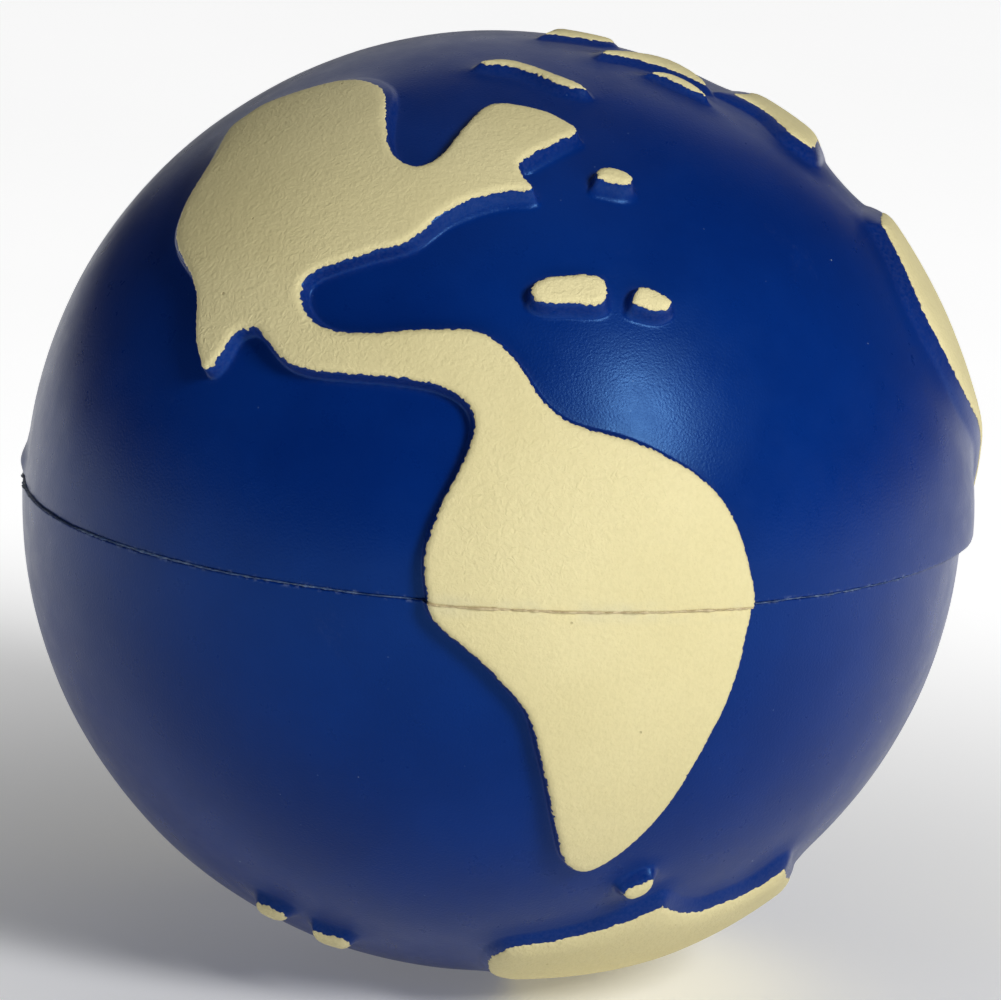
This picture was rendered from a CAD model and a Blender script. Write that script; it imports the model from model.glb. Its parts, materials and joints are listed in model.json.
import json
from math import cos, pi, radians, sin

import bpy
import numpy as np
from mathutils import Matrix, Vector, noise
from mathutils.bvhtree import BVHTree
from mathutils.kdtree import KDTree

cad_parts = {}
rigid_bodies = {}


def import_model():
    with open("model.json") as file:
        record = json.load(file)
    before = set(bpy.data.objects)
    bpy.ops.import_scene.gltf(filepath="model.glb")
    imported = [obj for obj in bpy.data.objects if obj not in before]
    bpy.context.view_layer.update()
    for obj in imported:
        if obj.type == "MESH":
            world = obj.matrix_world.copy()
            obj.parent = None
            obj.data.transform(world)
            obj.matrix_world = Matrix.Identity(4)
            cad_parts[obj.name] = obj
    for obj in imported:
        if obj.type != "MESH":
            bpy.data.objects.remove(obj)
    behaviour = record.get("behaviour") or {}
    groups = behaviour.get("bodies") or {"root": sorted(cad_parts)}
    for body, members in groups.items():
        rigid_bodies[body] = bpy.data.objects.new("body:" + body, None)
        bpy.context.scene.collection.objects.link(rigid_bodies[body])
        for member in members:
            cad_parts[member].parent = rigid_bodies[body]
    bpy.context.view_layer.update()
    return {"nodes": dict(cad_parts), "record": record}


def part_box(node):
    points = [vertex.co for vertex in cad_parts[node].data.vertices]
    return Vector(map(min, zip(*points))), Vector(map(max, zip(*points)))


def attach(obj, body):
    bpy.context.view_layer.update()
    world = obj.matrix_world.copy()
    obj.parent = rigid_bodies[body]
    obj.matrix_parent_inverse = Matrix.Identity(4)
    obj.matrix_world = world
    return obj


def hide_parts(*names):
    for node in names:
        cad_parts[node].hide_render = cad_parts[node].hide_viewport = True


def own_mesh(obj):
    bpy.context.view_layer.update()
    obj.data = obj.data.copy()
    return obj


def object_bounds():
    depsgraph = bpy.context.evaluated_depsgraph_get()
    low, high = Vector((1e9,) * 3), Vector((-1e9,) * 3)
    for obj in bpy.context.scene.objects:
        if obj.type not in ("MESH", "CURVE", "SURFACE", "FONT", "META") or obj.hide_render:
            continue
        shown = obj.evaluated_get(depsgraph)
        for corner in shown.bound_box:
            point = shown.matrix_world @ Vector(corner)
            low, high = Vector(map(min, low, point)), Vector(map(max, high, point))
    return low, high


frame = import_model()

# A globe stress ball: two moulded halves of blue foam skin with raised lands,
# a cream coat sprayed on each land top, trimmed flash on the parting line and
# soft foam inside.  Lengths in this script are in metres unless a name says mm.
MM = 0.001
SKIN = 1.0 * MM            # the moulded skin around the soft foam
# The relief's section, at the middle of the front and at the sides and the back:
# the share of the relief that the sea swells before the coast and that the wall
# climbs at it, then the widths of swell, wall and rounded shoulder.
CRISP = {"swell": 0.03, "wall": 0.80, "swell_wide": 1.2 * MM, "lean": 0.22 * MM,
         "shoulder": 0.55 * MM}
DOMED = {"swell": 0.26, "wall": 0.14, "swell_wide": 2.4 * MM, "lean": 0.32 * MM,
         "shoulder": 2.2 * MM}
CRISP_INSET = 0.07 * MM    # the coat stops this far inside the coast
DOMED_INSET = 1.00 * MM
SOUTH_INSET = 0.45         # the share of it that is left in the far south
# On a narrow land, shoulder and inset are no more than these shares of half its width.
NARROW_SHOULDER = 0.85
NARROW_INSET = 0.30
NARROWEST = 0.30 * MM      # what half a width is taken to be, at the least
# The walls round the Caribbean that face the parting line lean this much more.
DRAFT = 0.45 * MM
FOOT_ROUND = 0.60          # rounding at the foot of a wall, in wall leans
FRONT = Vector((0.0, -0.97, 0.24)).normalized()
CRISP_TO = radians(46)     # how far from FRONT the section is crisp
DOMED_FROM = radians(66)
COAT_TAPER = 0.35 * MM     # the coat thins out over this far at its edge
COAT_SINK = 0.05 * MM      # the coat's underside lies this far inside the skin
RAGGED = 0.13 * MM         # how far the sprayed edge wanders off the coast
RAGGED_WAVES = [(1300, 0.60), (2400, 0.60), (4300, 0.85)]   # waves per metre, and their share
NORTH_FLATTER = 0.42       # the relief round the north pole is this much lower
SOUTH_FLATTER = 0.55       # and round the south pole this much
# The upper half bulges off west Africa down to the parting line, and has a small
# lump across from it: where, how wide, how high.
BULGES = [
    (Vector((0.993, -0.105, 0.055)).normalized(), radians(16), 0.72 * MM),
    (Vector((-0.999, -0.017, 0.034)).normalized(), radians(1.9), 0.46 * MM),
]
NORTH_LIP = (0.035 * MM, 0.22 * MM)  # how deep and how tall each half rounds in
SOUTH_LIP = (0.030 * MM, 0.16 * MM)  # at the parting line
FLASH_TALL = 0.13 * MM
ON_SEAM = 0.03 * MM        # nearer than this to the parting line is on it
# How long the edges of triangles are, at the finest and at the coarsest.
FINE = 0.17 * MM
COARSE = 1.4 * MM
COAT_FINE = 0.072 * MM     # along the ragged edge of a coat

record = frame["record"]
BODIES = record["behaviour"]["bodies"]
JOINT = record["behaviour"]["joints"][0]
LOWER = JOINT["parent"]
UPPER = JOINT["child"]


# ------------------------------------------------------------ reading the CAD
def welded(node):
    """Corner positions and triangles of a CAD node, equal corners made one."""
    mesh = frame["nodes"][node].data
    mesh.calc_loop_triangles()
    co = np.array([v.co for v in mesh.vertices], float)
    tri = np.array([t.vertices for t in mesh.loop_triangles], int)
    _, first, back = np.unique(np.round(co / 1e-6).astype(np.int64), axis=0,
                               return_index=True, return_inverse=True)
    return co[first], back.reshape(-1)[tri]


def half_centre(core):
    """Centre and radius of the sphere that a half foam core is part of."""
    low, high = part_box(core)
    top = max(abs(low.z), abs(high.z))
    wide = (high.x - low.x) / 2
    off = (wide * wide - top * top) / (2 * top)
    sign = 1 if high.z > -low.z else -1
    return np.array([(low.x + high.x) / 2, 0.0, -sign * off]), top + off


def chains(edges):
    """Edges as chains of corner numbers; closed chains end where they start."""
    nxt = {}
    for a, b in edges:
        nxt.setdefault(a, []).append(b)
        nxt.setdefault(b, []).append(a)
    ends = [v for v in sorted(nxt) if len(nxt[v]) == 1]
    seen = set()
    found = []
    for start in ends + sorted(nxt):
        if start in seen:
            continue
        chain = [start]
        seen.add(start)
        while True:
            more = [v for v in nxt[chain[-1]] if v not in seen]
            if not more:
                break
            chain.append(more[0])
            seen.add(more[0])
        if len(nxt[start]) == 2:
            chain.append(start)
        found.append(chain)
    return found


def smooth_chain(p, step):
    """Points every step along a smooth curve through p, on the unit sphere."""
    closed = np.allclose(p[0], p[-1])
    if closed:
        p = np.vstack([p[-2], p, p[1]])
    else:
        # carried on past the parting line, so distances hold right up to it
        p = np.vstack([p[0] + 0.06 * (p[0] - p[1]) / np.linalg.norm(p[0] - p[1]), p,
                       p[-1] + 0.06 * (p[-1] - p[-2]) / np.linalg.norm(p[-1] - p[-2])])
        p = np.vstack([2 * p[0] - p[1], p, 2 * p[-1] - p[-2]])
    out = []
    for a, b, c, d in zip(p[:-3], p[1:-2], p[2:-1], p[3:]):
        t0 = 0.0
        t1 = t0 + np.linalg.norm(b - a) ** 0.5 + 1e-9
        t2 = t1 + np.linalg.norm(c - b) ** 0.5 + 1e-9
        t3 = t2 + np.linalg.norm(d - c) ** 0.5 + 1e-9
        count = max(1, int(np.ceil(np.linalg.norm(c - b) / step)))
        t = (t1 + (t2 - t1) * np.arange(count) / count)[:, None]
        a1 = (t1 - t) / (t1 - t0) * a + (t - t0) / (t1 - t0) * b
        a2 = (t2 - t) / (t2 - t1) * b + (t - t1) / (t2 - t1) * c
        a3 = (t3 - t) / (t3 - t2) * c + (t - t2) / (t3 - t2) * d
        b1 = (t2 - t) / (t2 - t0) * a1 + (t - t0) / (t2 - t0) * a2
        b2 = (t3 - t) / (t3 - t1) * a2 + (t - t1) / (t3 - t1) * a3
        out.append((t2 - t) / (t2 - t1) * b1 + (t - t1) / (t2 - t1) * b2)
    out.append(p[-2][None])
    out = np.vstack(out)
    return out / np.linalg.norm(out, axis=1)[:, None]


class Half:
    """One mould half: its centre, radii and coasts, read from the CAD."""

    def __init__(self, side, body):
        self.side = side
        self.sign = 1 if side == "north" else -1
        self.body = body
        self.centre, foam = half_centre("foam_core_" + side)
        self.foam = foam
        self.sea = foam + SKIN
        self.coats = sorted(n for n in BODIES[body] if n.startswith("coat_"))
        self.origin = np.array([self.centre[0], 0.0, 0.0])
        starts = []
        ends = []
        lands = []
        top_faces = []
        tops = []
        count = 0
        for number, node in enumerate(self.coats):
            co, tri = welded(node)
            far = np.linalg.norm(co - self.centre, axis=1)
            self.land = far.max()
            self.coat = far.max() - far.min()
            cap = tri[(far[tri] > self.land - 0.3 * self.coat).all(axis=1)]
            edge = np.sort(np.vstack([cap[:, [0, 1]], cap[:, [1, 2]], cap[:, [2, 0]]]), axis=1)
            edge, used = np.unique(edge, axis=0, return_counts=True)
            edge = edge[used == 1]
            edge = edge[~(np.abs(co[edge, 2]) < 0.01 * MM).all(axis=1)]
            unit = (co - self.centre) / far[:, None]
            for chain in chains(edge):
                curve = smooth_chain(unit[chain], 0.15 * MM / self.land)
                starts.append(curve[:-1])
                ends.append(curve[1:])
                lands.append(np.full(len(curve) - 1, number))
            tops.append(unit)
            top_faces.append(cap + count)
            count += len(unit)
        self.starts = np.vstack(starts)
        self.ends = np.vstack(ends)
        self.lands = np.concatenate(lands)
        self.tree = KDTree(len(self.starts))
        for i, p in enumerate(self.starts):
            self.tree.insert(p, i)
        self.tree.balance()
        self.caps = BVHTree.FromPolygons(np.vstack(tops).tolist(), np.vstack(top_faces).tolist())
        # half of each land's width, at its widest
        spots = half_sphere(self.sign, 12, lambda ray: np.full(len(ray), 0.5 * MM / self.land))[0]
        spots = spots[self.inland(spots)]
        gap, nearest, _ = self.coast(spots)
        self.wide = np.full(len(self.coats), NARROWEST)
        np.maximum.at(self.wide, self.lands[nearest], gap)

    def coast(self, unit):
        """Distance to the nearest coast, its number, and how it faces the parting line."""
        near = np.array([self.tree.find(p)[1] for p in unit.tolist()], int)
        best = np.full(len(unit), 9.0)
        away = np.zeros((len(unit), 3))
        for shift in (-1, 0):
            i = np.clip(near + shift, 0, len(self.starts) - 1)
            a = self.starts[i]
            along = self.ends[i] - a
            t = ((unit - a) * along).sum(1) / np.maximum((along * along).sum(1), 1e-18)
            gap = unit - a - np.clip(t, 0, 1)[:, None] * along
            length = np.linalg.norm(gap, axis=1)
            closer = length < best
            best[closer] = length[closer]
            away[closer] = gap[closer]
        # how squarely the way out from the coast points at the parting line
        facing = -self.sign * away[:, 2] / np.maximum(best, 1e-12)
        facing /= np.maximum(np.hypot(unit[:, 0], unit[:, 1]), 0.2)
        return best * self.land, near, np.clip(facing, -1, 1)

    def inland(self, unit):
        zero = Vector((0, 0, 0))
        return np.array([self.caps.ray_cast(zero, Vector(p))[0] is not None
                         for p in unit.tolist()], bool)

    def reach(self, ray, radius):
        """How far from the half's origin, along each ray, its sphere of that radius lies."""
        off = self.origin - self.centre
        along = ray @ off
        return -along + np.sqrt(along * along - off @ off + radius * radius)

    def unit(self, ray):
        """Directions seen from the sphere's centre for rays from the half's origin."""
        p = self.origin + ray * self.reach(ray, self.land)[:, None] - self.centre
        return p / np.linalg.norm(p, axis=1)[:, None]


# ------------------------------------------------------------- the round mesh
def split(points, faces, target):
    """One round of edge splitting; every marked edge is halved for both its faces."""
    edge = np.sort(np.vstack([faces[:, [0, 1]], faces[:, [1, 2]], faces[:, [2, 0]]]), axis=1)
    edge, back = np.unique(edge, axis=0, return_inverse=True)
    back = back.reshape(3, -1).T
    a = points[edge[:, 0]]
    b = points[edge[:, 1]]
    middle = a + b
    middle /= np.linalg.norm(middle, axis=1)[:, None]
    cut = np.linalg.norm(a - b, axis=1) > target(middle)
    if not cut.any():
        return points, faces, False
    number = np.full(len(edge), -1)
    number[cut] = len(points) + np.arange(cut.sum())
    points = np.vstack([points, middle[cut]])
    m = number[back]
    marked = (m >= 0).sum(1)
    out = [faces[marked == 0]]
    f = faces[marked == 3]
    n = m[marked == 3]
    out += [np.stack([f[:, 0], n[:, 0], n[:, 2]], 1), np.stack([n[:, 0], f[:, 1], n[:, 1]], 1),
            np.stack([n[:, 2], n[:, 1], f[:, 2]], 1), n]
    for k in range(3):
        turn = [k, (k + 1) % 3, (k + 2) % 3]
        # only the edge from corner 0 to corner 1 is marked
        pick = (marked == 1) & (m[:, k] >= 0)
        f = faces[pick][:, turn]
        n = m[pick][:, k]
        out += [np.stack([f[:, 0], n, f[:, 2]], 1), np.stack([n, f[:, 1], f[:, 2]], 1)]
        # the edges 0-1 and 1-2 are marked
        pick = (marked == 2) & (m[:, turn[2]] < 0)
        f = faces[pick][:, turn]
        n = m[pick][:, turn]
        out.append(np.stack([n[:, 0], f[:, 1], n[:, 1]], 1))
        short = (np.linalg.norm(points[f[:, 0]] - points[n[:, 1]], axis=1)
                 < np.linalg.norm(points[n[:, 0]] - points[f[:, 2]], axis=1))
        g = f[short]
        n1 = n[short]
        out += [np.stack([g[:, 0], n1[:, 0], n1[:, 1]], 1),
                np.stack([g[:, 0], n1[:, 1], g[:, 2]], 1)]
        g = f[~short]
        n1 = n[~short]
        out += [np.stack([g[:, 0], n1[:, 0], g[:, 2]], 1),
                np.stack([n1[:, 0], n1[:, 1], g[:, 2]], 1)]
    return points, np.vstack(out), True


def half_sphere(sign, rounds, target):
    """Unit directions and faces of a half sphere with its rim on z = 0."""
    points = np.array([(1, 0, 0), (0, 1, 0), (-1, 0, 0), (0, -1, 0), (0, 0, sign)], float)
    faces = np.array([(0, 1, 4), (1, 2, 4), (2, 3, 4), (3, 0, 4)])
    if sign < 0:
        faces = faces[:, [1, 0, 2]]
    for _ in range(rounds):
        points, faces, more = split(points, faces, target)
        if not more:
            break
    return points, faces


def rim_of(points):
    """Numbers of the rim's points in order of their angle round +Z."""
    rim = np.nonzero(points[:, 2] == 0)[0]
    angle = np.arctan2(points[rim, 1], points[rim, 0])
    order = np.argsort(angle)
    return rim[order], angle[order]


def zipped(outer, outer_angle, inner, inner_angle):
    """Triangles between two rims, each sorted by angle."""
    faces = []
    i = j = 0
    a = np.append(outer_angle, outer_angle[0] + 2 * pi)
    b = np.append(inner_angle, inner_angle[0] + 2 * pi)
    n, m = len(outer), len(inner)
    while i < n or j < m:
        if j >= m or (i < n and a[i + 1] <= b[j + 1]):
            faces.append((outer[i % n], outer[(i + 1) % n], inner[j % m]))
            i += 1
        else:
            faces.append((outer[i % n], inner[(j + 1) % m], inner[j % m]))
            j += 1
    return np.array(faces)


def new_piece(name, points, faces, body, nodes, material, coast=None):
    """A mesh piece that rides on a body, stands for CAD nodes and knows its coasts."""
    mesh = bpy.data.meshes.new(name)
    mesh.vertices.add(len(points))
    mesh.vertices.foreach_set("co", np.ascontiguousarray(points, np.float32).ravel())
    mesh.loops.add(3 * len(faces))
    mesh.loops.foreach_set("vertex_index", np.ascontiguousarray(faces, np.int32).ravel())
    mesh.polygons.add(len(faces))
    mesh.polygons.foreach_set("loop_start", np.arange(0, 3 * len(faces), 3, dtype=np.int32))
    mesh.update(calc_edges=True)
    mesh.validate()
    mesh.shade_smooth()
    spread = mesh.attributes.new("rest", "FLOAT_VECTOR", "POINT")
    spread.data.foreach_set("vector", np.ascontiguousarray(points, np.float32).ravel())
    from_coast = mesh.attributes.new("coast_mm", "FLOAT", "POINT")
    values = np.zeros(len(points)) if coast is None else coast / MM
    from_coast.data.foreach_set("value", np.ascontiguousarray(values, np.float32))
    obj = bpy.data.objects.new(name, mesh)
    bpy.context.scene.collection.objects.link(obj)
    mesh.materials.append(material)
    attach(obj, body)
    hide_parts(*nodes)
    return obj


# ------------------------------------------------------------- surface shapes
def smooth(value, low, high):
    t = np.clip((value - low) / (high - low), 0, 1)
    return t * t * (3 - 2 * t)


def apart(unit, centre):
    """Angle from a centre direction."""
    return np.arccos(np.clip(unit @ np.array(centre), -1, 1))


def domed_share(unit):
    """How domed the relief's section is: 0 at the front, 1 at the sides and the back."""
    return smooth(apart(unit, FRONT), CRISP_TO, DOMED_FROM)


def relief(unit, coast, facing, wide):
    """Share of the relief's height at each direction, given its coast distance."""
    domed = domed_share(unit)
    part = {key: CRISP[key] + (DOMED[key] - CRISP[key]) * domed for key in CRISP}
    part["shoulder"] = np.minimum(part["shoulder"], NARROW_SHOULDER * wide)
    drafted = smooth(unit[:, 0], -0.24, -0.08) * smooth(unit[:, 2], 0.50, 0.60)
    lean = part["lean"] + DRAFT * drafted * (1 - domed) * smooth(facing, 0.1, 0.85)
    t = 1 + coast / lean
    t = np.where(np.abs(t) < FOOT_ROUND, (t + FOOT_ROUND) ** 2 / (4 * FOOT_ROUND), np.maximum(t, 0))
    out = part["swell"] * np.clip(1 + coast / part["swell_wide"], 0, 1) ** 2
    out = out + part["wall"] * np.minimum(t, 1)
    start = part["swell"] + part["wall"]
    inland = np.clip(coast / part["shoulder"], 0, 1)
    dome = 1 - (1 - start) * (1 - inland) ** 2
    polar = NORTH_FLATTER * smooth(unit[:, 2], sin(radians(48)), sin(radians(72)))
    polar += SOUTH_FLATTER * smooth(-unit[:, 2], sin(radians(60)), sin(radians(76)))
    return (1 - polar) * np.where(coast < 0, out, dome)


def grain(points, scale, amount):
    """Smooth noise at points, scale in waves per metre."""
    return np.array([noise.noise(Vector(p)) for p in (points * scale).tolist()]) * amount


def lip(z, depth, tall):
    """How far the rim of a half rounds in at height z off the parting line."""
    t = np.clip(1 - np.abs(z) / tall, 0, 1)
    return depth * t * t


# ------------------------------------------------------------------- finishes
class Nodes:
    """Small helper to write a material's node tree."""

    def __init__(self, name):
        self.mat = bpy.data.materials.new(name)
        self.mat.use_nodes = True
        self.tree = self.mat.node_tree
        self.shader = self.tree.nodes["Principled BSDF"]
        self.rest = self.new("ShaderNodeAttribute", attribute_name="rest").outputs["Vector"]

    def new(self, kind, **values):
        node = self.tree.nodes.new(kind)
        for key, value in values.items():
            setattr(node, key, value)
        return node

    def put(self, socket, value):
        if isinstance(value, bpy.types.NodeSocket):
            self.tree.links.new(value, socket)
        else:
            socket.default_value = value

    def noise(self, scale, detail=2.0, rough=0.5, warp=0.0):
        node = self.new("ShaderNodeTexNoise")
        self.put(node.inputs["Vector"], self.rest)
        self.put(node.inputs["Scale"], scale)
        self.put(node.inputs["Detail"], detail)
        self.put(node.inputs["Roughness"], rough)
        self.put(node.inputs["Distortion"], warp)
        return node.outputs["Fac"]

    def cells(self, scale, feature="F1", output="Distance"):
        node = self.new("ShaderNodeTexVoronoi", feature=feature)
        self.put(node.inputs["Vector"], self.rest)
        self.put(node.inputs["Scale"], scale)
        return node.outputs[output]

    def step(self, value, low, high, out_low=0.0, out_high=1.0):
        node = self.new("ShaderNodeMapRange", interpolation_type="SMOOTHSTEP")
        for name, v in (("Value", value), ("From Min", low), ("From Max", high),
                        ("To Min", out_low), ("To Max", out_high)):
            self.put(node.inputs[name], v)
        return node.outputs["Result"]

    def math(self, operation, a, b=0.5):
        node = self.new("ShaderNodeMath", operation=operation)
        self.put(node.inputs[0], a)
        self.put(node.inputs[1], b)
        return node.outputs[0]

    def mix(self, factor, a, b):
        node = self.new("ShaderNodeMix", data_type="RGBA")
        self.put(node.inputs[0], factor)
        self.put(node.inputs[6], a)
        self.put(node.inputs[7], b)
        return node.outputs[2]

    def bump(self, height, distance, normal=None):
        node = self.new("ShaderNodeBump")
        self.put(node.inputs["Strength"], 1.0)
        self.put(node.inputs["Distance"], distance)
        self.put(node.inputs["Height"], height)
        if normal is not None:
            self.put(node.inputs["Normal"], normal)
        return node.outputs["Normal"]

    def height_off_seam(self):
        parts = self.new("ShaderNodeSeparateXYZ")
        self.put(parts.inputs[0], self.rest)
        return self.math("ABSOLUTE", parts.outputs["Z"])

    def sparse(self, scale, radius, share):
        """Round spots, one in some of the cells of a lattice."""
        near = self.step(self.cells(scale), radius, radius * 0.55)
        parts = self.new("ShaderNodeSeparateColor")
        self.put(parts.inputs[0], self.cells(scale, output="Color"))
        chosen = self.step(parts.outputs[0], share, share * 0.8)
        return self.math("MULTIPLY", near, chosen)


def colour(r, g, b):
    return (r, g, b, 1.0)


def blue_skin():
    n = Nodes("blue_skin")
    # broad mottling of the dyed skin, then pale scuffs and dust
    base = n.mix(n.step(n.noise(60, 4, 0.6), 0.3, 0.7), colour(0.0004, 0.0165, 0.138),
                 colour(0.0008, 0.0220, 0.170))
    scuff = n.math("MULTIPLY", n.step(n.noise(95, 5, 0.7, 0.6), 0.60, 0.76),
                   n.step(n.noise(3200, 3, 0.6), 0.42, 0.66))
    base = n.mix(n.math("MULTIPLY", scuff, 0.05), base, colour(0.16, 0.22, 0.36))
    base = n.mix(n.sparse(360, 0.030, 0.35), base, colour(0.24, 0.29, 0.38))
    base = n.mix(n.math("MULTIPLY", n.sparse(900, 0.070, 0.14), 0.35), base,
                 colour(0.10, 0.17, 0.34))
    # a mist of the cream coat on the relief's walls
    coast = n.new("ShaderNodeAttribute", attribute_name="coast_mm").outputs["Fac"]
    mist = n.math("MULTIPLY", n.step(coast, -0.9, -0.05), n.step(n.noise(4200, 3, 0.6), 0.30, 0.70))
    base = n.mix(n.math("MULTIPLY", mist, 0.09), base, colour(0.12, 0.14, 0.27))
    # the trimmed parting line scatters pale crumbs beside it
    seam = n.step(n.height_off_seam(), 0.00034, 0.00002)
    crumbs = n.math("MULTIPLY", seam, n.step(n.noise(1900, 4, 0.65), 0.50, 0.66))
    base = n.mix(n.math("MULTIPLY", crumbs, 0.40), base, colour(0.20, 0.26, 0.38))
    n.put(n.shader.inputs["Base Color"], base)
    n.put(n.shader.inputs["Roughness"], n.step(n.noise(420, 5, 0.6), 0.30, 0.70, 0.27, 0.33))
    n.shader.inputs["IOR"].default_value = 1.37
    n.shader.inputs["Specular Tint"].default_value = colour(0.21, 0.52, 1.0)
    n.put(n.shader.inputs["Normal"], n.bump(n.noise(6000, 2, 0.5), 0.000015))
    return n.mat


def cream_coat():
    n = Nodes("cream_coat")
    coast = n.new("ShaderNodeAttribute", attribute_name="coast_mm").outputs["Fac"]
    base = n.mix(n.step(n.noise(60, 3, 0.5), 0.32, 0.68), colour(0.700, 0.618, 0.325),
                 colour(0.745, 0.662, 0.362))
    # the coat is uneven: thin places let the skin grey it a little
    base = n.mix(n.step(n.noise(2600, 3, 0.6), 0.58, 0.36, 0.0, 0.09), base,
                 colour(0.47, 0.41, 0.20))
    # worn and misted at its edge, with a few pinholes
    rim = n.step(coast, 0.30, 0.02)
    worn = n.math("MULTIPLY", rim, n.step(n.noise(1900, 4, 0.65), 0.34, 0.62, 0.10, 0.55))
    base = n.mix(worn, base, colour(0.47, 0.42, 0.23))
    pin = n.sparse(560, 0.075, 0.22)
    base = n.mix(n.math("MULTIPLY", pin, 0.50), base, colour(0.40, 0.31, 0.15))
    # tan along the trimmed parting line, and smudged for a millimetre beside it
    seam = n.math("MULTIPLY", n.step(n.height_off_seam(), 0.00016, 0.00003),
                  n.step(n.noise(1600, 4, 0.65), 0.30, 0.60, 0.20, 1.0))
    base = n.mix(n.math("MULTIPLY", seam, 0.40), base, colour(0.42, 0.32, 0.16))
    smudge = n.math("MULTIPLY", n.step(n.height_off_seam(), 0.0012, 0.0001),
                    n.step(n.noise(240, 3, 0.6), 0.40, 0.65))
    base = n.mix(n.math("MULTIPLY", smudge, 0.20), base, colour(0.46, 0.49, 0.42))
    n.put(n.shader.inputs["Base Color"], base)
    n.put(n.shader.inputs["Roughness"], n.step(n.noise(900, 4, 0.6), 0.30, 0.70, 0.66, 0.80))
    n.shader.inputs["IOR"].default_value = 1.42
    # sprayed and stretched: fine wrinkles in places, orange peel, and pinholes
    wrinkle = n.math("ABSOLUTE", n.math("SUBTRACT", n.noise(1500, 2, 0.5, 1.0), 0.5))
    wrinkle = n.math("MULTIPLY", wrinkle, n.step(n.noise(48, 2, 0.5), 0.38, 0.62, 0.25, 1.0))
    coat = n.bump(wrinkle, 0.00013)
    coat = n.bump(n.noise(3300, 3, 0.6), 0.000065, normal=coat)
    coat = n.bump(n.noise(330, 2, 0.5), 0.00008, normal=coat)
    n.put(n.shader.inputs["Normal"], n.bump(n.math("SUBTRACT", 1.0, pin), 0.00006, normal=coat))
    return n.mat


def flash_rubber():
    n = Nodes("trimmed_flash")
    coast = n.new("ShaderNodeAttribute", attribute_name="coast_mm").outputs["Fac"]
    torn = n.step(n.noise(1700, 5, 0.7), 0.36, 0.66)
    sea = n.mix(torn, colour(0.022, 0.062, 0.180), colour(0.130, 0.185, 0.300))
    land = n.mix(torn, colour(0.430, 0.330, 0.180), colour(0.620, 0.520, 0.300))
    n.put(n.shader.inputs["Base Color"], n.mix(n.step(coast, -0.05, 0.05), sea, land))
    n.put(n.shader.inputs["Roughness"], n.step(n.noise(1500, 4, 0.6), 0.30, 0.70, 0.36, 0.52))
    n.put(n.shader.inputs["Normal"], n.bump(n.noise(2600, 3, 0.5), 0.00002))
    return n.mat


def open_foam():
    n = Nodes("soft_foam")
    cell = n.cells(1400, "SMOOTH_F1")
    base = n.mix(n.step(cell, 0.10, 0.60), colour(0.30, 0.35, 0.46), colour(0.66, 0.68, 0.70))
    base = n.mix(n.step(n.noise(120, 4, 0.6), 0.35, 0.70, 0.0, 0.35), base,
                 colour(0.50, 0.50, 0.44))
    n.put(n.shader.inputs["Base Color"], base)
    n.put(n.shader.inputs["Roughness"], n.step(n.noise(800, 3, 0.6), 0.3, 0.7, 0.80, 0.95))
    foam = n.bump(cell, 0.00025)
    n.put(n.shader.inputs["Normal"], n.bump(n.noise(4200, 3, 0.6), 0.00005, normal=foam))
    return n.mat


BLUE = blue_skin()
CREAM = cream_coat()
FLASH = flash_rubber()
FOAM = open_foam()


# ----------------------------------------------------------- building a half
def mesh_size(half):
    """How long a triangle's edges may be at each direction, on the unit sphere."""
    def size(ray):
        unit = half.unit(ray)
        coast, _, _ = half.coast(unit)
        near = coast < 2.5 * MM
        signed = np.full(len(ray), 9.0)
        inside = half.inland(unit[near])
        signed[near] = np.where(inside, coast[near], -coast[near])
        # the band from a little inland to the wall's foot is the finest
        out = np.maximum(signed - 0.16 * MM, -0.74 * MM - signed)
        out = np.where(near, out, coast)
        seam = np.abs(ray[:, 2]) * half.sea - 0.42 * MM
        out = np.maximum(np.minimum(out, seam), 0)
        return np.clip(FINE + 0.55 * out, FINE, COARSE) / half.land
    return size


def coat_inset(half, unit, near):
    """How far inside the coast the coat stops at each direction."""
    inset = CRISP_INSET + (DOMED_INSET - CRISP_INSET) * domed_share(unit)
    inset *= 1 - (1 - SOUTH_INSET) * smooth(-unit[:, 2], 0.60, 0.80)
    return np.minimum(inset, NARROW_INSET * half.wide[half.lands[near]])


def surface_at(half, ray):
    """The finished surface of the skin along each ray from the half's origin."""
    unit = half.unit(ray)
    coast, near, facing = half.coast(unit)
    # points on the parting line are asked about just off it, on the half's own side
    asked = unit.copy()
    rim = np.abs(ray[:, 2]) * half.land < ON_SEAM
    asked[rim, 2] = half.sign * ON_SEAM / half.land
    signed = np.where(half.inland(asked), coast, -coast)
    wide = half.wide[half.lands[near]]
    height = (half.land - half.coat - half.sea) * relief(unit, signed, facing, wide)
    if half.sign > 0:
        for centre, wide, high in BULGES:
            height += high * np.exp(-(apart(unit, centre) / wide) ** 2)
    at_sea = half.origin + ray * half.sea
    lump = grain(at_sea, 55, 0.10 * MM) + grain(at_sea, 160, 0.035 * MM)
    lump *= np.clip(np.abs(ray[:, 2]) * half.sea / (3 * MM), 0, 1)
    depth, tall = NORTH_LIP if half.sign > 0 else SOUTH_LIP
    worn = 1 + grain(at_sea, 420, 0.9) + grain(at_sea, 1500, 0.5)
    worn = np.clip(worn, 0.3, 1.8) * (1 - 0.75 * smooth(signed, -0.1 * MM, 0.2 * MM))
    lipped = lip(ray[:, 2] * half.sea, depth, tall) * worn
    radius = half.reach(ray, half.sea + height + lump) - lipped
    wander = sum(grain(at_sea, scale, share) for scale, share in RAGGED_WAVES) * RAGGED
    return {"ray": ray, "coast": signed, "near": near, "radius": radius,
            "edge": signed + wander - coat_inset(half, unit, near)}


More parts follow.
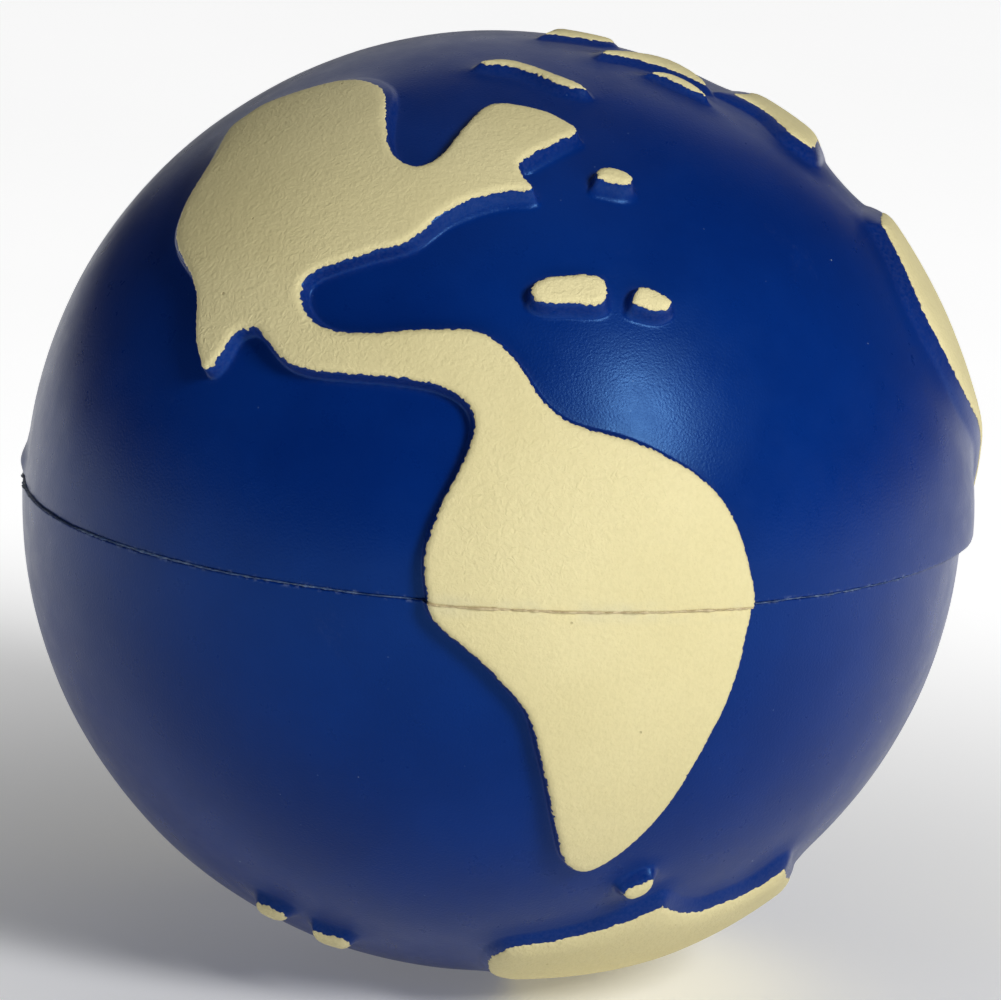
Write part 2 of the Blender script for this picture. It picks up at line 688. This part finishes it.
def make_half(half):
    ray, faces = half_sphere(half.sign, 12, mesh_size(half))
    m = surface_at(half, ray)
    m["faces"] = faces
    m["surface"] = half.origin + ray * m["radius"][:, None]
    return m


def make_skin(half, m):
    count = len(m["ray"])
    inner_ray, inner_faces = half_sphere(half.sign, 6, lambda r: np.full(len(r), 0.07))
    inner = half.origin + inner_ray * half.reach(inner_ray, half.foam)[:, None]
    outer_rim, outer_angle = rim_of(m["ray"])
    inner_rim, inner_angle = rim_of(inner_ray)
    ring = zipped(outer_rim, outer_angle, inner_rim + count, inner_angle)
    if half.sign > 0:
        ring = ring[:, ::-1]
    points = np.vstack([m["surface"], inner])
    faces = np.vstack([m["faces"], inner_faces[:, ::-1] + count, ring])
    coast = np.append(m["coast"], np.full(len(inner), -9 * MM))
    return new_piece("skin_" + half.side, points, faces, half.body,
                     ["skin_" + half.side], BLUE, coast=coast)


def make_coats(half, m):
    """Each coat is the part of the surface inside its ragged edge, made thin and closed."""
    # the sprayed edge is finer than the skin's mesh, so it gets a finer one
    kept = m["faces"][(m["coast"][m["faces"]] > -0.30 * MM).any(axis=1)]
    used, kept = np.unique(kept, return_inverse=True)
    ray = m["ray"][used]
    kept = kept.reshape(-1, 3)

    def size(direction):
        unit = half.unit(direction)
        coast, near, _ = half.coast(unit)
        gap = np.abs(coast - coat_inset(half, unit, near)) - 0.18 * MM
        return np.where(gap < 0, COAT_FINE, 0.25 * MM + 2 * gap) / half.land

    for _ in range(5):
        ray, kept, _ = split(ray, kept, size)
    m = surface_at(half, ray)
    edge = m["edge"]
    inside = edge > 0
    kept = kept[inside[kept].any(axis=1)]
    best = kept[np.arange(len(kept)), np.argmax(m["coast"][kept], axis=1)]
    owner = half.lands[m["near"][best]]
    pieces = []
    for number, node in enumerate(half.coats):
        own = kept[owner == number]
        pairs = np.sort(np.vstack([own[:, [0, 1]], own[:, [1, 2]], own[:, [2, 0]]]), axis=1)
        pairs = np.unique(pairs, axis=0)
        cross = pairs[inside[pairs[:, 0]] != inside[pairs[:, 1]]]
        share = edge[cross[:, 0]] / (edge[cross[:, 0]] - edge[cross[:, 1]])
        share = np.clip(share, 0.04, 0.96)
        names = {(a, b): len(edge) + i for i, (a, b) in enumerate(cross.tolist())}

        def blended(values):
            a = values[cross[:, 0]]
            b = values[cross[:, 1]]
            w = share if values.ndim == 1 else share[:, None]
            return np.concatenate([values, a + (b - a) * w])

        ray = blended(m["ray"])
        radius = blended(m["radius"])
        coast = blended(m["coast"])
        level = np.append(edge, np.zeros(len(cross)))
        cut = []
        for tri in own.tolist():
            flags = [inside[v] for v in tri]
            if all(flags):
                cut.append(tri)
                continue
            loop = []
            for k in range(3):
                a, b = tri[k], tri[(k + 1) % 3]
                if flags[k]:
                    loop.append(a)
                if flags[k] != flags[(k + 1) % 3]:
                    loop.append(names[(min(a, b), max(a, b))])
            cut += [[loop[0], loop[i], loop[i + 1]] for i in range(1, len(loop) - 1)]
        cut = np.array(cut)
        used, cut = np.unique(cut, return_inverse=True)
        cut = cut.reshape(-1, 3)
        ray = ray[used]
        ray /= np.linalg.norm(ray, axis=1)[:, None]
        radius = radius[used]
        thick = half.coat * np.clip(level[used] / COAT_TAPER, 0, 1) ** 0.5
        top = half.origin + ray * (radius + 0.25 * half.coat + 0.75 * thick)[:, None]
        under = half.origin + ray * (radius - COAT_SINK)[:, None]
        border = np.vstack([cut[:, [0, 1]], cut[:, [1, 2]], cut[:, [2, 0]]])
        keys = border[:, 0] * len(used) + border[:, 1]
        back = border[:, 1] * len(used) + border[:, 0]
        border = border[~np.isin(keys, back)]
        count = len(used)
        side = np.vstack([np.stack([border[:, 1], border[:, 0], border[:, 0] + count], 1),
                          np.stack([border[:, 1], border[:, 0] + count, border[:, 1] + count], 1)])
        faces_all = np.vstack([cut, cut[:, ::-1] + count, side])
        pieces.append(new_piece(node, np.vstack([top, under]), faces_all,
                                half.body, [node], CREAM, coast=np.tile(coast[used], 2)))
    return pieces


def make_core(half):
    ray, faces = half_sphere(half.sign, 6, lambda r: np.full(len(r), 0.05))
    ball = half.origin + ray * (half.reach(ray, half.foam) - 0.02 * MM)[:, None]
    rim, angle = rim_of(ray)
    points = [ball]
    sheets = [faces]
    count = len(ball)
    ring, ring_angle = rim, angle
    # the cut side of the half ball, in rings down to its middle
    for share in np.arange(0.94, 0.03, -0.06):
        many = max(12, int(len(rim) * share))
        turn = -pi + 2 * pi * np.arange(many) / many
        flat = np.stack([np.cos(turn), np.sin(turn), np.zeros(many)], 1) * share * half.foam
        points.append(half.origin + flat)
        numbers = count + np.arange(many)
        sheets.append(zipped(ring, ring_angle, numbers, turn))
        ring, ring_angle = numbers, turn
        count += many
    points.append(half.origin[None])
    sheets.append(np.stack([ring, np.roll(ring, -1), np.full(len(ring), count)], 1))
    flat_faces = np.vstack(sheets[1:])
    if half.sign > 0:
        flat_faces = flat_faces[:, ::-1]
    node = "foam_core_" + half.side
    return new_piece(node, np.vstack(points), np.vstack([faces, flat_faces]),
                     half.body, [node], FOAM)


def make_flash(halves, made):
    """The trimmed skin of foam along the parting line: thin, torn and uneven."""
    count = 2400
    turn = -pi + 2 * pi * np.arange(count) / count
    radii = []
    coasts = []
    for half, m in zip(halves, made):
        rim, angle = rim_of(m["ray"])
        p = m["surface"][rim]
        a = np.arctan2(p[:, 1], p[:, 0])
        order = np.argsort(a)
        radii.append(np.interp(turn, a[order], np.hypot(p[:, 0], p[:, 1])[order], period=2 * pi))
        coasts.append(np.interp(turn, a[order], m["coast"][rim][order], period=2 * pi))
    low = np.minimum(*radii)
    low = low + 0.5 * np.minimum(np.maximum(*radii) - low, 0.25 * MM)
    on = np.stack([np.cos(turn), np.sin(turn), np.zeros(count)], 1) * low[:, None]
    coast = np.mean(coasts, axis=0)
    on_land = smooth(coast, -0.1 * MM, 0.2 * MM)
    reach = low + (0.11 + grain(on, 700, 0.12) + grain(on, 2400, 0.12)) * MM
    reach += halves[0].coat * on_land
    tall = FLASH_TALL * np.clip(0.8 + grain(on, 900, 0.7) + grain(on, 2600, 0.5), 0.25, 1.5)
    tall *= 1 + 0.8 * on_land
    sway = grain(on, 260, 0.07) * MM
    section = [(-0.9, 0.5), (-0.25, 0.5), (-0.02, 0.30), (0.05, 0.0),
               (-0.02, -0.30), (-0.25, -0.5), (-0.9, -0.5)]
    rows = []
    for out, up in section:
        r = reach + out * MM
        rows.append(np.stack([np.cos(turn) * r, np.sin(turn) * r, tall * up + sway], 1))
    points = np.stack(rows, 1).reshape(-1, 3)
    n = len(section)
    i = np.arange(count)[:, None] * n
    j = (np.arange(count)[:, None] + 1) % count * n
    k = np.arange(n)[None]
    k2 = (k + 1) % n
    quads = np.stack([i + k, i + k2, j + k2, j + k], -1).reshape(-1, 4)
    faces = np.vstack([quads[:, [0, 1, 2]], quads[:, [0, 2, 3]]])
    coast = np.repeat(coast, n)
    return new_piece("parting_flash", points, faces, LOWER,
                     ["parting_flash"], FLASH, coast=coast)


halves = [Half("north", UPPER), Half("south", LOWER)]
made = [make_half(half) for half in halves]
lower_pieces = []
upper_pieces = []
for half, m in zip(halves, made):
    found = [make_core(half), make_skin(half, m)] + make_coats(half, m)
    (upper_pieces if half.sign > 0 else lower_pieces).extend(found)
lower_pieces.append(make_flash(halves, made))

# Squeezing flattens the whole ball: each half flattens towards its own pole as its
# body moves, so the two still meet at the parting line.
for obj in lower_pieces:
    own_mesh(obj)
for obj in upper_pieces:
    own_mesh(obj)


# --------------------------------------------------------------------- studio
ELEVATION = radians(12.1)
ROLL = radians(3.35)
DISTANCE = 0.544
LENS = 270.0
ASIDE = 0.00040            # the ball stands this far left of the picture's middle
GLOW_FROM_TO = (0.02, 0.16)   # the floor glows GLOW_NEAR up to there, GLOW_FAR beyond
GLOW_NEAR = 0.16
GLOW_FAR = 0.67


def make_floor():
    n = Nodes("studio_floor")
    spread = n.new("ShaderNodeTexCoord").outputs["Object"]
    n.rest = spread
    base = n.mix(n.step(n.noise(9, 3, 0.5), 0.3, 0.7), colour(0.86, 0.86, 0.86),
                 colour(0.90, 0.90, 0.90))
    n.put(n.shader.inputs["Base Color"], base)
    n.put(n.shader.inputs["Roughness"], n.step(n.noise(60, 3, 0.5), 0.3, 0.7, 0.85, 0.95))
    n.shader.inputs["Specular IOR Level"].default_value = 0.2
    # a light table: it glows a little, and more away from the ball
    away = n.new("ShaderNodeVectorMath", operation="LENGTH")
    n.put(away.inputs[0], spread)
    n.shader.inputs["Emission Color"].default_value = (1, 1, 1, 1)
    n.put(n.shader.inputs["Emission Strength"],
          n.step(away.outputs["Value"], *GLOW_FROM_TO, GLOW_NEAR, GLOW_FAR))
    mesh = bpy.data.meshes.new("floor")
    r = 3.0
    mesh.from_pydata([(-r, -r, 0), (r, -r, 0), (r, r, 0), (-r, r, 0)], [], [(0, 1, 2, 3)])
    mesh.materials.append(n.mat)
    floor = bpy.data.objects.new("floor", mesh)
    floor.location = (0, 0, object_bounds()[0][2])
    bpy.context.scene.collection.objects.link(floor)


def softbox(name, direction, distance, size, power):
    data = bpy.data.lights.new(name, "AREA")
    data.shape = "RECTANGLE"
    data.size, data.size_y = size
    data.energy = power
    lamp = bpy.data.objects.new(name, data)
    aim = Vector(direction).normalized()
    lamp.location = aim * distance
    lamp.rotation_euler = aim.to_track_quat("Z", "Y").to_euler()
    bpy.context.scene.collection.objects.link(lamp)


make_floor()
softbox("key", (0.535, -0.686, 0.496), 0.9, (0.20, 0.30), 6.3)
softbox("top_fill", (-0.05, 0.15, 1.0), 1.0, (0.9, 0.9), 0.55)
softbox("back_panel", (0.0, 0.93, 0.40), 1.0, (0.9, 0.65), 0.9)

world = bpy.data.worlds.new("studio")
world.use_nodes = True
world.node_tree.nodes["Background"].inputs["Color"].default_value = (1, 1, 1, 1)
world.node_tree.nodes["Background"].inputs["Strength"].default_value = 0.03
bpy.context.scene.world = world

lens = bpy.data.cameras.new("camera")
lens.lens = LENS
lens.sensor_width = 36.0
lens.clip_start = 0.01
camera = bpy.data.objects.new("camera", lens)
bpy.context.scene.collection.objects.link(camera)
back = Vector((0, -cos(ELEVATION), sin(ELEVATION)))
turned = back.to_track_quat("Z", "Y").to_matrix().to_4x4() @ Matrix.Rotation(ROLL, 4, "Z")
aside = Matrix.Translation((ASIDE, 0, 0))
camera.matrix_world = Matrix.Translation(back * DISTANCE) @ turned @ aside
bpy.context.scene.camera = camera
bpy.context.scene.view_settings.view_transform = "Standard"
